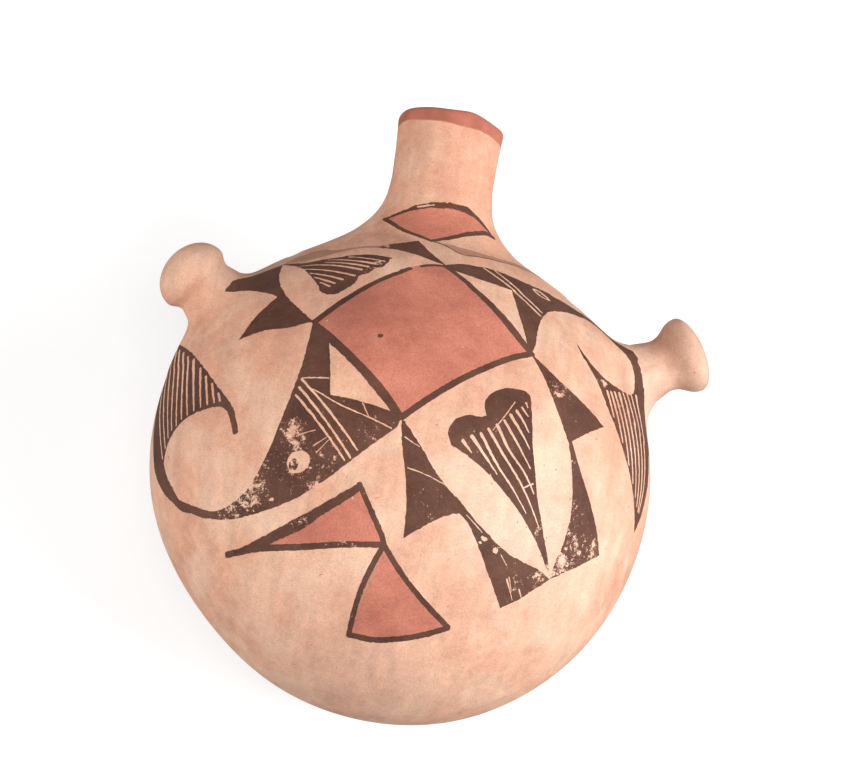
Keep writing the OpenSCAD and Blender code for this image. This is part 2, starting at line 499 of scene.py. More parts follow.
def far_wedges():
    petal_tip = (-89, 81)
    yield BLACK, area(
        [(-77, 6.5), (-91, 8.1), (-106.3, 6.5)],
        [(-96.8, 22.8), (-86, 35)],
        [(-94.8, 43), (-107, 52.8), (-116, 52.6)],
        [(-106.8, 69.5), (-96.8, 78), petal_tip],
        [(-88.7, 71.5), (-87.6, 58), (-84.9, 44.6), (-79.3, 31.1), (-71.1, 18.2), WEST],
    )
    yield WASH, area(
        [(-31, 80.4), (-48.3, 82.2), (-58, 86.5), (-64, 93.5)],
        [(-74, 96), (-83, 91), petal_tip],
        [(-75.8, 77.4), (-62.5, 77.1), (-53.9, 78.5), (-41.8, 79), (-31, 77.7)],
    )
    yield BLACK, area(
        [(4.5, 69.5), (-1.7, 77.5), (-8.6, 90)],
        [(-19.5, 85), (-32.8, 79.8)],
        [(-31.4, 77.7), (-21, 75.5), (-10.4, 72), (1, 66.8), NORTH],
    )


# Slip-coloured gaps in the near hook's leaf, from its top edge down to its lower arc
NEAR_LEAF_GAPS = [
    ([(-115.8, -27.5), (-114.3, -33)], 1.3),
    ([(-120.5, -19), (-118.2, -32.5)], 1.6),
    ([(-125.2, -11.5), (-122.6, -31.8)], 1.5),
    ([(-130, -2.7), (-127.2, -31.3)], 1.6),
    ([(-136, 8), (-132, -31.5)], 2.0),
    ([(-140.5, 14), (-139.3, -8), (-136.9, -32)], 1.5),
    ([(-145, 21), (-143.6, -1), (-141.6, -32)], 1.7),
    ([(-149.5, 28), (-148, 0), (-145.9, -34)], 1.7),
    ([(-154, 35), (-152.8, 6), (-150.3, -34.5)], 1.7),
    ([(-159, 38), (-158, 6), (-153.6, -38)], 1.7),
    ([(-164, 38), (-163.5, 6), (-156.8, -43)], 1.7),
    ([(-169, 34), (-168.5, 4), (-160.4, -48)], 1.7),
]


# Three lines across the near figure's neck
NEAR_COLLAR = [
    ([(-67.5, -30.7), (-31.6, -74.4)], 1.3),
    ([(-68.5, -35.7), (-35, -78.8)], 1.3),
    ([(-70, -40.4), (-38.4, -80)], 1.3),
]


def near_fish():
    """The near figure: a dark body with an eye, drawn out into a hook that ends in a hatched leaf."""
    yield BLACK, area(
        [(-66.8, -15), (-69.6, -28), (-73.7, -43.3), (-78.1, -57.5), (-82.1, -69.6), (-87, -79.8),
         (-91.8, -87), (-97.4, -92.4), (-105, -95.7), (-115, -97), (-124, -94), (-138, -86), (-146, -80.5),
         (-151, -72), (-156, -62.5), (-159, -52)],
        [(-156, -44.5), (-150, -38.5), (-143, -35), (-135, -33.7), (-127, -34), (-119, -35.3),
         (-113, -37.5), (-109.5, -41.5), (-107, -48), (-104.5, -57)],
        [(-101.8, -56), (-104, -46), (-107.5, -37), (-115, -25), (-122.5, -12), (-131, 3), (-142, 22),
         (-155, 42)],
        [(-166, 40), (-173, 28), (-176, 8), (-176.5, -12), (-175.5, -30), (-174, -46), (-169.5, -58.5),
         (-162, -70), (-154, -79), (-145, -88), (-136, -92.5), (-125, -98.5), (-112, -102.5), (-97, -104.5),
         (-77, -102.5), (-62, -98), (-48, -90.5), (-35, -80.5), (-22, -70), (-10, -59.8)],
        [SOUTH],
        [(-24, -35), (-44, -13), WEST],
    )
    yield SLIP, area([(-52, -25), (-50.6, -42)], [(-33, -46), (-15.3, -50.8)], [(-34, -29.5), (-54, -7.5)])
    yield from gaps(NEAR_COLLAR, 1.1)
    yield SLIP, stroke([(-67, -30), (-52.4, -31.3)], 0.8)
    yield SLIP, stroke([(-60.8, -37.7), (-44, -48.3), (-26.3, -55.8), (-13.4, -61)], 0.7)
    yield SLIP, blob(-64.8, -79.6, 13.4, 12.8)
    yield BLACK, blob(-67.6, -81, 5.2, 7)
    yield SLIP, blob(-68, -80.6, 1.4, 1.6)
    yield from gaps(NEAR_LEAF_GAPS, 1.0)


# The far leaf's gaps run from a curve through three tops to one through three feet, and bow to the right
FAR_LEAF_GAPS = 8
FAR_LEAF_TOPS = [(118, 17), (130, 27), (145, 43)]
FAR_LEAF_FEET = [(125, 2), (155, -30), (168, -36)]
FAR_LEAF_BOW = 6.4
FAR_LEAF_GAP_W = 2.1


def through_three(points, share):
    """Point at a share of the way along the even curve through three points."""
    first, middle, last = np.array(points, float)
    weights = (1 - share) * (1 - 2 * share), 4 * share * (1 - share), share * (2 * share - 1)
    return weights[0] * first + weights[1] * middle + weights[2] * last


def far_leaf_gaps():
    for k in range(FAR_LEAF_GAPS):
        share = k / (FAR_LEAF_GAPS - 1)
        top = through_three(FAR_LEAF_TOPS, share)
        foot = through_three(FAR_LEAF_FEET, share)
        middle = (top + foot) / 2 + [FAR_LEAF_BOW * share ** 2, 0]
        points = [through_three([top, middle, foot], step) for step in (0, 0.25, 0.5, 0.75, 1)]
        yield points, FAR_LEAF_GAP_W


def far_fish():
    """The far figure, drawn the other way round: its body, its hook and its hatched leaf."""
    yield BLACK, area(
        [(66, 20.6), (66.8, 34), (69, 45.5), (73.4, 55), (80, 61.5), (91, 70.5), (103, 77.5), (114, 79),
         (124, 73.5), (131, 66), (137.5, 56.5), (141.8, 48.5), (141.8, 41.5), (138, 35.5), (128.3, 29),
         (120, 26.8), (111.8, 26.5), (102.4, 30.6), (97, 35), (92.5, 39.5)],
        [(97.2, 31), (102, 26.2), (110.8, 16.6), (119, 4.6), (128, -5.2), (137, -15.2), (145.4, -23.6),
         (156.5, -35.4), (169, -51)],
        [(172.5, -38), (174, -26), (174.5, -9.2), (171.5, 16), (166.5, 31), (160.5, 40), (151.5, 47.8),
         (143.2, 54.8), (136.5, 63), (131, 73.5), (122, 80.5), (110, 84.6), (97, 82.5), (84, 79.8),
         (71, 77.2), (60, 75.3), (50, 75), (38.1, 75.2), (26.6, 73), (15.5, 69.8), NORTH],
        NORTH_EAST_SIDE,
    )
    yield SLIP, area([(31, 58.4), (48.7, 58.8)], [(53.5, 40), (60.8, 16.6)], [(41, 37), (13.5, 60.8)])
    yield SLIP, stroke([(31, 73), (50, 59.5), (67.5, 46)], 1.3)
    yield SLIP, stroke([(37, 75), (53, 62), (68.5, 50)], 1.2)
    yield SLIP, blob(68, 70.3, 13, 5.5, -8)
    yield BLACK, blob(68, 70.3, 8.5, 2.6, -8)
    yield from gaps(far_leaf_gaps(), 1.4)


def near_triangles():
    """Two red triangles that meet at a corner, each with a dark outline that is broad on one side."""
    meet = (-9.2, -123.2)
    tip = (-109, -122.5)
    apex = (-28, -93)
    foot = (-25, -170.5)
    heel = (39.3, -159.3)
    yield RED, area(
        [(-84, -122.5), (-60, -124), meet],
        [(-18, -106), apex],
        [(-46, -103), (-70, -114), tip],
    )
    yield BLACK, area(
        [(-90, -118.6), (-66.8, -110.9), (-46.2, -101.9), (-27.8, -92)],
        [(-27.5, -96.4), (-35.3, -102), (-45.8, -107.6), (-57.6, -114.6), (-70.5, -119), (-82, -122)],
        [tip],
    )
    yield BLACK, stroke([tip, (-100, -122.6), (-85, -122.7), (-60, -124.4), (-35, -123.9), meet], 3.8, 3.0)
    yield BLACK, stroke([apex, (-18.8, -107), (-11.2, -118.5), meet], 3.2)
    yield RED, area(
        [(-19, -146), (-25, -170)],
        [(-8, -171.5), (9, -169), (25.5, -164.5), heel],
        [(11.2, -143), meet],
    )
    yield WASH, stroke([(-10.5, -129), (-17, -146), (-21, -157)], 1.6, 0.8)
    yield BLACK, stroke([meet, (-15.3, -135.2), (-19.8, -146), (-22.8, -157.5), foot], 3.5)
    yield BLACK, stroke([foot, (-8, -172.2), (9, -169.9), (25.4, -165.3), heel], 3.2)
    yield BLACK, stroke([meet, (0.4, -133.5), (11.2, -142.8), (24.2, -151.4), heel], 3.2)


def far_fan():
    """The red fan at the foot of the neck, and the worn grey line beside it."""
    left = (-28.1, 112.6)
    low = (-1.1, 91.5)
    right = (37.2, 115.8)
    top = [(-17, 112), (-10.6, 111.6), (-3.8, 111), (3.6, 110.9), (8.6, 111.4), (14, 112.3), (22.5, 114.4),
           (29.8, 115.9), right]
    lower_right = [(32.2, 113.2), (26.1, 108.2), (11.9, 98.5), low]
    lower_left = [(-17, 100.1), left]
    lower_line = [low, (7.2, 88.9), (17.3, 82.8), (26.7, 85.9), (40.8, 90.8), (61.8, 100.8), (75.7, 102.8)]
    yield WASH, area(lower_line[1:], [(62, 106.5), (40.6, 95.1), (22, 91.3), (5, 91.3), low])
    yield BLACK, stroke(lower_line, 0.9)
    yield RED, area(top, lower_right, lower_left)
    yield BLACK, stroke([left] + top, 1.5)
    yield SLIP, stroke([(-9, 111.5), (-5, 111.1), (0.2, 110.9)], 0.6, 0.4)
    yield BLACK, stroke([right] + lower_right, 2.4)
    yield BLACK, stroke([low] + lower_left, 2.4)


# Scratches through the paint: their points, and the width of each
SCRATCHES = [
    ([(-4.9, -65.1), (-0.5, -67.5), (4.5, -69.6)], 0.7),
    ([(-0.9, -82.1), (11, -84.5), (25.4, -88.8)], 0.8),
    ([(71, -126.5), (78, -135.5)], 1.1),
    ([(81, -129), (84.4, -133)], 1.2),
    ([(63.7, -115.7), (68.7, -119.7)], 0.6),
    ([(72, -125), (76, -131.5)], 0.8),
    ([(-55, -75.5), (-48.5, -68.5)], 0.6),
    ([(-66, -64.5), (-57, -62.5)], 0.8),
    ([(-57, -71.5), (-50, -67)], 0.6),
    ([(-31.8, -47), (-27.5, -54.6)], 0.6),
    ([(38, -101), (49, -107.5)], 0.4),
]
# Chips in the paint: x, y, width and height
CHIPS = [
    (51, -110.5, 4.2, 2.6), (49, -113, 1.8, 1.4), (59.5, -114.5, 3.4, 3.2), (-79, -98, 3, 1.6),
    (-31, -100, 1.6, 1.3), (102.5, -112, 3, 2.2), (97, -111, 2, 1.6),
]


def losses():
    yield from gaps(SCRATCHES, 0.4)
    for x, y, width, height in CHIPS:
        yield SLIP, blob(x, y, width, height)


def painting():
    """Every painted area in the order of painting, so that a later one covers an earlier one."""
    motifs = [near_fish, far_fish, near_wedges, far_wedges, near_heart, far_heart, near_triangles, far_fan,
              middle_field, losses]
    for motif in motifs:
        yield from motif()


# Places on the painting's chart: x, y, radius and strength. The first are where the paint has flaked
WORN = [
    (-70, -63, 8, 1.1), (-66, -70, 6, 0.9), (-92, -91, 14, 1.0), (-106, -99, 10, 0.9), (-54, -93, 10, 0.9),
    (-65, -80, 14, 0.8), (80, -126, 13, 0.5), (106, -104, 8, 1.3), (129, -87, 7, 1.0), (116, -93, 12, 0.8),
    (92, -117, 8, 0.9), (85, -6, 10, 0.8), (60, -113, 8, 0.5), (99, -112, 7, 1.0), (-30, 56, 10, 0.7),
    (-112, -123, 9, 0.6), (-24, -66, 12, 0.5), (106, -75, 12, 0.6), (98, -50, 10, 0.5), (74, -20, 9, 0.7),
    (130, 12, 9, 0.7), (-85, -75, 10, 0.6), (-48, -80, 14, 0.6), (12, -95, 14, 0.35), (88, -95, 9, 0.6),
    (-28, -118, 20, 0.4), (-60, -108, 12, 0.6), (-12, -150, 14, 0.45), (114, 22, 5, 0.9),
    (-30, 82, 12, 0.8), (103, -92, 14, 0.8), (97, -76, 11, 0.6), (-12, -104, 12, 0.3), (-60, -78, 26, 0.4),
    (40, -60, 26, 0.3),
]
# Grey-brown patches on the slip, the pinker slip of the neck with painted shade on the left, painted light
# and painted shade
# Grey-brown patches on the slip above the right lug, at the foot of the neck and up on the left
GREY_BROWN_PATCHES = [(149, 71, 12, 1.0), (157, 62, 9, 0.8), (-20, 150, 24, 0.35), (-110, 70, 20, 0.3)]
# The neck's pinker slip; the two spots on the left also darken and redden the shaded side of the body as
# painted shade
PINK_AND_SHADE = [(5, 185, 62, 1.0), (-60, 120, 30, 0.3), (-60, 10, 60, 0.3)]
# Painted light: the slip is mixed paler where the light falls, on the lower right and on the right lug
PAINTED_LIGHT = [(78, -88, 55, 0.75), (-20, -110, 34, 0.25), (166, 54, 28, 1.0)]
# Painted shade: slip and paint are darker towards the bottom, left of the red field and at the left edge
PAINTED_SHADE = [(-20, -190, 54, 1.0), (-100, 55, 30, 0.3), (-54, 18, 26, 0.9), (-172, -38, 28, 0.9)]
PLACES = {"wear": WORN, "grey_brown_patch": GREY_BROWN_PATCHES, "pink_and_shade": PINK_AND_SHADE, "painted_light": PAINTED_LIGHT, "painted_shade": PAINTED_SHADE}


def spots_at(flat, spots):
    """Strength at points of the chart: each spot fades out at about its radius."""
    strength = np.zeros(len(flat))
    for x, y, radius, most in spots:
        distance = np.hypot(flat[:, 0] - x, flat[:, 1] - y)
        strength = np.maximum(strength, most * np.exp(-(distance / radius) ** 2))
    return strength


# Mesh

class Surface:
    """Collects the points, faces and face materials of the vessel's one closed mesh."""

    def __init__(self):
        self.points = []
        self.count = 0
        self.faces = []
        self.paints = []

    def add(self, points):
        start = self.count
        self.points.append(points)
        self.count += len(points)
        return np.arange(start, self.count)

    def show(self, faces, paints):
        """Adds faces and what each of them shows."""
        self.faces += [tuple(f) for f in faces]
        self.paints += list(paints)

    def grow(self, ring, points, paint):
        """Joins a ring to a next ring at points, and returns that one."""
        following = self.add(points)
        faces = list(zip(ring, np.roll(ring, -1), np.roll(following, -1), following))
        self.show(faces, [paint] * len(faces))
        return following

    def close(self, ring, point, paint):
        tip = self.add(point[None, :])[0]
        self.show([(a, b, tip) for a, b in zip(ring, np.roll(ring, -1))], [paint] * len(ring))


def inside(outline, points):
    """Which points lie inside a closed outline."""
    found = np.zeros(len(points), bool)
    low, high = outline.min(0), outline.max(0)
    near = np.nonzero(((points >= low) & (points <= high)).all(1))[0]
    x, y = points[near, 0][:, None], points[near, 1][:, None]
    x0, y0 = outline[:, 0], outline[:, 1]
    x1, y1 = np.roll(x0, -1), np.roll(y0, -1)
    spans = (y0 > y) != (y1 > y)
    with np.errstate(divide="ignore", invalid="ignore"):
        crossing = x0 + (y - y0) * (x1 - x0) / (y1 - y0)
    found[near] = (spans & (x < crossing)).sum(1) % 2 == 1
    return found


def grid_points(radius, drawn):
    """Points of a triangular grid in a disc, away from the points of drawn outlines."""
    clear = CLEAR_SHARE * GRID
    rows = int(radius / (GRID * ROW_SHARE)) + 1
    columns = int(radius / GRID) + 2
    row, column = np.mgrid[-rows:rows + 1, -columns:columns + 1]
    points = np.stack([(column + 0.5 * (row % 2)) * GRID, row * GRID * ROW_SHARE], axis=-1).reshape(-1, 2)
    points = points[np.hypot(points[:, 0], points[:, 1]) < radius - clear]
    tree = KDTree(len(drawn))
    for i, p in enumerate(drawn):
        tree.insert((p[0], p[1], 0.0), i)
    tree.balance()
    free = [tree.find((p[0], p[1], 0.0))[2] > clear for p in points]
    return points[np.array(free)]


def meshed(rings, outlines, radius):
    """Triangles of a disc whose edges follow the rings and outlines. The first ring is its border, the
    others are holes. Returns the flat points, the triangles and where each ring's points went."""
    loops = rings + outlines
    drawn = np.vstack(loops)
    holes = rings[1:]
    grid = grid_points(radius, drawn)
    for hole in holes:
        grid = grid[~inside(hole, grid)]
    edges = []
    parts = []
    start = 0
    for loop in loops:
        count = len(loop)
        edges += [(start + i, start + (i + 1) % count) for i in range(count)]
        parts.append(slice(start, start + count))
        start += count
    flat = np.vstack([drawn, grid])
    vectors = [Vector(p) for p in flat]
    points, _, faces, sources, _, _ = delaunay_2d_cdt(vectors, edges, [], 0, 0.01, True)
    points = np.array([tuple(p) for p in points])
    place = np.zeros(len(flat), int)
    for new, old in enumerate(sources):
        for i in old:
            place[i] = new
    triangles = np.array([f for f in faces if len(f) == 3])
    centres = points[triangles].mean(1)
    keep = np.ones(len(triangles), bool)
    for hole in holes:
        keep &= ~inside(hole, centres)
    return points, triangles[keep], [place[part] for part in parts[:len(rings)]]


def build_outside(surface):
    """The whole outer skin, apart from the neck's tube and the lugs' ends. Returns their waist rings."""
    limbs = [neck, left_lug, right_lug]
    waists = [
        neck.ring(NECK_R, NECK_WAIST_H, NECK_SIDES),
        left_lug.ring(LEFT_LUG["waist_r"], lug_waist_h(LEFT_LUG), LUG_SIDES),
        right_lug.ring(RIGHT_LUG["waist_r"], lug_waist_h(RIGHT_LUG), LUG_SIDES),
    ]
    seam_radius = math.radians(SEAM_ANGLE) * BODY_R
    turns = full_turn(SEAM_SIDES)
    seam = seam_radius * np.stack([np.cos(turns), np.sin(turns)], axis=1)
    seam_directions = front.directions(seam)
    areas = list(painting())
    rings = [seam] + [front.flat(w) for w in waists]
    flat, triangles, places = meshed(rings, [outline for _, outline in areas], seam_radius)
    points = lifted(front.directions(flat), 0.0, limbs)
    for place, waist in zip(places[1:], waists):
        points[place] = waist
    index = surface.add(points)
    centres = flat[triangles].mean(1)
    paints = np.full(len(triangles), SLIP)
    for paint, outline in areas:
        paints[inside(outline, centres)] = paint
    surface.show(index[triangles], paints)
    back_radius = math.pi * BODY_R - seam_radius
    back_flat, back_triangles, back_places = meshed([back.flat(seam_directions)], [], back_radius)
    back_points = lifted(back.directions(back_flat), 0.0, limbs)
    back_index = surface.add(back_points)
    back_index[back_places[0]] = index[places[0]]
    surface.show(back_index[back_triangles], [SLIP] * len(back_triangles))
    return [index[place] for place in places[1:]]


def arc(radius, start, end, steps):
    """Points of a round edge after its start: their distances outwards, and their heights."""
    turns = np.radians(np.linspace(start, end, steps + 1)[1:])
    return radius * np.cos(turns), radius * np.sin(turns)


def band_line(turns):
    """Height along the neck at which the lip's painted band begins."""
    wander = 0.35 * np.sin(3 * turns) + 0.25 * np.sin(7 * turns + 1)
    return NECK_REACH - BAND_W - BAND_SWING * np.cos(turns) + wander


def band_at(points):
    """How fully the lip's paint covers points of the outside, from 0 to 1."""
    along = points @ neck.axis
    turns = np.arctan2(points @ neck.up, points @ neck.across)
    beside = np.hypot(points @ neck.up, points @ neck.across)
    covered = np.clip((along - band_line(turns)) / BAND_FADE + 0.5, 0, 1)
    return np.where(beside < LIP_R + BAND_OUTSIDE, covered, 0)


def build_neck(surface, waist_ring):
    """The neck's tube, the rounded lip, the bore, and the funnel and chamber inside."""
    turns = full_turn(NECK_SIDES)
    edge_h = NECK_REACH - LIP_EDGE_R
    fade_start_h = band_line(turns) - BAND_FADE / 2
    fade_end_h = fade_start_h + BAND_FADE
    ring = waist_ring

    def tube(height):
        share = (height - NECK_WAIST_H) / (edge_h - NECK_WAIST_H)
        return NECK_R + (LIP_R - NECK_R) * share ** 2

    def grow(radius, height, paint):
        nonlocal ring
        ring = surface.grow(ring, neck.ring(radius, height, NECK_SIDES), paint)

    def grow_tube(start_h, end_h, steps):
        for share in np.linspace(0, 1, steps + 1)[1:]:
            height = start_h + (end_h - start_h) * share
            grow(tube(height), height, SLIP)

    grow_tube(NECK_WAIST_H, fade_start_h, NECK_STEPS)
    grow_tube(fade_start_h, fade_end_h, BAND_STEPS)
    grow_tube(fade_end_h, edge_h, BAND_STEPS)
    for out, rise in zip(*arc(LIP_EDGE_R, 0, 90, LIP_STEPS)):
        grow(LIP_R - LIP_EDGE_R + out, edge_h + rise, SLIP)
    for out, rise in zip(*arc(LIP_EDGE_R, 90, 180, LIP_STEPS)):
        grow(BORE_R + LIP_EDGE_R + out, edge_h + rise, SLIP)
    inside_band_h = edge_h - BAND_INSIDE + 0.8 * np.sin(2 * turns + 1)
    bore_end = NECK_WAIST_H - WALL
    for share in (0.5, 1.0):
        grow(BORE_R, edge_h + (inside_band_h - edge_h) * share, SLIP)
    for share in np.linspace(0, 1, BORE_STEPS + 1)[1:]:
        grow(BORE_R, inside_band_h + (bore_end - inside_band_h) * share, CLAY)
    spokes = neck.spokes(turns)
    for angle in np.linspace(funnel.waist_angle, math.pi, CHAMBER_STEPS + 1)[1:-1]:
        directions = math.cos(angle) * neck.axis + math.sin(angle) * spokes
        ring = surface.grow(ring, lifted(directions, WALL, [funnel]), CLAY)
    surface.close(ring, lifted(-neck.axis[None, :], WALL, [])[0], CLAY)


def lug_profile(lug):
    """Radius and height of a lug's end, from its waist over a flare and a soft rim to its dome."""
    start_h = lug_waist_h(lug)
    rim_h = lug["reach"] - lug["dome_h"]
    t = np.linspace(0, 1, FLARE_STEPS + 1)[1:]
    radii = [lug["waist_r"], lug["waist_r"], lug["end_r"], lug["end_r"]]
    heights = [start_h, start_h + lug["flare_h"] * FLARE_PULL, rim_h - lug["flare_h"] * RIM_PULL, rim_h]
    flare = zip(bezier(radii, t), bezier(heights, t))
    out, rise = arc(1.0, 0, 90, DOME_STEPS)
    dome = zip(lug["end_r"] * out[:-1], rim_h + lug["dome_h"] * rise[:-1])
    return list(flare) + list(dome)


def build_lug(surface, limb, lug, waist_ring):
    ring = waist_ring
    for radius, height in lug_profile(lug):
        ring = surface.grow(ring, limb.ring(radius, height, LUG_SIDES), SLIP)
    surface.close(ring, lug["reach"] * limb.axis, SLIP)


# Slow swells of a hand-built wall: their number, the most that each moves a point, and their shortest
# and longest waves
SWELLS = 9
SWELL = 0.1
SWELL_WAVES = (60.0, 150.0)
# Height above the flat rest over which the unevenness sets in
REST_FADE_H = 12.0
# Places where the wall bulges or is flat: the place, its size and the height of the bulge
BULGES = [
    ((-86, -89, -16), 46, -3.0), ((-106, -60, -10), 26, -0.8), ((39, -117, -17), 58, 2.1),
    ((116, -36, 24), 44, -1.6), ((89, 70, 46), 17, 1.5), ((-117, 36, 25), 20, 2.2),
    ((-76, 75, 52), 18, -1.2), ((-54, 86, 59), 16, -1.3), ((-61, 89, 44), 20, -2.0),
    ((-36, 112, 46), 18, 1.2),
]


def ease(share):
    """From 0 to 1 with a gentle start and end."""
    share = np.clip(share, 0, 1)
    return share * share * (3 - 2 * share)


def hand_formed(points):
    """Points of the true form, moved a little the way a wall built by hand wanders."""
    moved = points.copy()
    form_rng = np.random.default_rng(FORM_SEED)
    for _ in range(SWELLS):
        wave = unit(form_rng.normal(size=3)) * 2 * np.pi / form_rng.uniform(*SWELL_WAVES)
        push = unit(form_rng.normal(size=3)) * SWELL
        moved += np.sin(points @ wave + form_rng.uniform(0, 2 * np.pi))[:, None] * push
    outward = unit(points)
    for place, size, height in BULGES:
        distance = np.linalg.norm(points - np.array(place, float), axis=1)
        moved += (height * np.exp(-(distance / size) ** 2))[:, None] * outward
    lean = ease((points @ neck.axis - LEAN_FROM) / (LEAN_TO - LEAN_FROM))
    moved += lean[:, None] * np.array(NECK_LEAN)
    bend = ease((points @ right_lug.axis - BEND_FROM) / (BEND_TO - BEND_FROM))
    moved += bend[:, None] * np.array(LUG_BEND)
    beside = points - (points @ neck.axis)[:, None] * neck.axis
    moved -= (lean * NECK_SLIM)[:, None] * beside / NECK_R
    turns = np.degrees(np.arctan2(points @ neck.up, points @ neck.across))
    near_lip = ease((points @ neck.axis - NECK_REACH + LIP_WAVE_H) / LIP_WAVE_H)
    for angle, spread, rise in LIP_WAVES:
        moved += (near_lip * rise * np.exp(-((turns - angle) / spread) ** 2))[:, None] * neck.axis
    above_rest = np.clip((points[:, 2] + BACK_H) / REST_FADE_H, 0, 1)[:, None]
    return points + (moved - points) * above_rest


def store(mesh, name, values):
    layer = mesh.attributes.new(name, "FLOAT", "POINT")
    layer.data.foreach_set("value", values.astype(np.float32))


def build_vessel(materials):
    surface = Surface()
    neck_ring, left_ring, right_ring = build_outside(surface)
    build_neck(surface, neck_ring)
    build_lug(surface, left_lug, LEFT_LUG, left_ring)
    build_lug(surface, right_lug, RIGHT_LUG, right_ring)
    true_points = np.vstack(surface.points)
    points = hand_formed(true_points) + [0, 0, BACK_H]
    mesh = bpy.data.meshes.new("vessel")
    mesh.from_pydata((points * MM).tolist(), [], [[int(i) for i in f] for f in surface.faces])
    for material in materials:
        mesh.materials.append(material)
    mesh.polygons.foreach_set("material_index", np.array(surface.paints, np.int32))
    flat = front.flat(true_points)
    for name, spots in PLACES.items():
        store(mesh, name, spots_at(flat, spots))
    store(mesh, "lip_band", band_at(true_points))
    bm = bmesh.new()
    bm.from_mesh(mesh)
    loose = [v for v in bm.verts if not v.link_faces]
    bmesh.ops.delete(bm, geom=loose, context="VERTS")
    bmesh.ops.recalc_face_normals(bm, faces=bm.faces)
    bm.to_mesh(mesh)
    bm.free()
    mesh.shade_smooth()
    return placed("painted_canteen", mesh)


# Materials

def colour(red, green, blue):
    """A display colour of 0 to 255 as the linear colour that a shader takes."""
    parts = [c / 255 for c in (red, green, blue)]
    return [c / 12.92 if c <= 0.04045 else ((c + 0.055) / 1.055) ** 2.4 for c in parts] + [1.0]


class Shader:
    """A material and short calls for its nodes."""

    def __init__(self, name, roughness):
        self.material = bpy.data.materials.new(name)
        self.material.use_nodes = True
        self.tree = self.material.node_tree
        self.bsdf = self.tree.nodes["Principled BSDF"]
        self.bsdf.inputs["Roughness"].default_value = roughness
        self.bsdf.inputs["Specular IOR Level"].default_value = 0.2
        self.place = self.tree.nodes.new("ShaderNodeTexCoord").outputs["Object"]

    def link(self, source, target):
        self.tree.links.new(source, target)

    def noise(self, scale, detail=3.0, roughness=0.55, stretch=(1, 1, 1), distortion=0.0):
        """Noise with features of about 1 / scale metres, stretched along the axes with small factors."""
        mapping = self.tree.nodes.new("ShaderNodeMapping")
        mapping.inputs["Scale"].default_value = stretch
        self.link(self.place, mapping.inputs["Vector"])
        node = self.tree.nodes.new("ShaderNodeTexNoise")
        node.inputs["Scale"].default_value = scale
        node.inputs["Detail"].default_value = detail
        node.inputs["Roughness"].default_value = roughness
        node.inputs["Distortion"].default_value = distortion
        self.link(mapping.outputs["Vector"], node.inputs["Vector"])
        return node.outputs["Fac"]

    def ramp(self, value, *stops):
        node = self.tree.nodes.new("ShaderNodeValToRGB")
        elements = node.color_ramp.elements
        while len(elements) < len(stops):
            elements.new(0.5)
        for element, (position, tint) in zip(elements, stops):
            element.position = position
            element.color = tint if isinstance(tint, list) else [tint, tint, tint, 1.0]
        self.link(value, node.inputs["Fac"])
        return node.outputs["Color"]

    def mix(self, factor, a, b, mode="MIX"):
        node = self.tree.nodes.new("ShaderNodeMix")
        node.data_type = "RGBA"
        node.blend_type = mode
        inputs = [s for s in node.inputs if s.enabled]
        for socket, value in zip(inputs, (factor, a, b)):
            if isinstance(value, (float, int, list)):
                socket.default_value = value
            else:
                self.link(value, socket)
        return [s for s in node.outputs if s.enabled][0]

    def times(self, tint, factor):
        return self.mix(1.0, tint, factor, "MULTIPLY")

    def dapple(self, tint, noise, low, dark, high):
        """A tint darkened where the noise is low."""
        return self.times(tint, self.ramp(noise, (low, dark), (high, 1.0)))

    def math(self, operation, a, b):
        node = self.tree.nodes.new("ShaderNodeMath")
        node.operation = operation
        for socket, value in zip(node.inputs, (a, b)):
            if isinstance(value, (float, int)):
                socket.default_value = value
            else:
                self.link(value, socket)
        return node.outputs["Value"]

    def layer(self, name):
        """A value that the mesh holds at its points."""
        node = self.tree.nodes.new("ShaderNodeAttribute")
        node.attribute_name = name
        return node.outputs["Fac"]

    def bump(self, height, strength, distance):
        node = self.tree.nodes.new("ShaderNodeBump")
        node.inputs["Strength"].default_value = strength
        node.inputs["Distance"].default_value = distance
        self.link(height, node.inputs["Height"])
        self.link(node.outputs["Normal"], self.bsdf.inputs["Normal"])

    def finish(self, tint):
        self.link(tint, self.bsdf.inputs["Base Color"])
        return self.material


POLISH_STRETCH = (1, 0.12, 0.35)
RELIEF_H = 0.0004
# What the pinker slip, with its painted shade on the left, and the paint under painted shade are multiplied
# by
PINK_AND_SHADE_FACTOR = [0.96, 0.71, 0.63, 1.0]
PAINTED_SHADE_FACTOR = [0.82, 0.84, 0.86, 1.0]


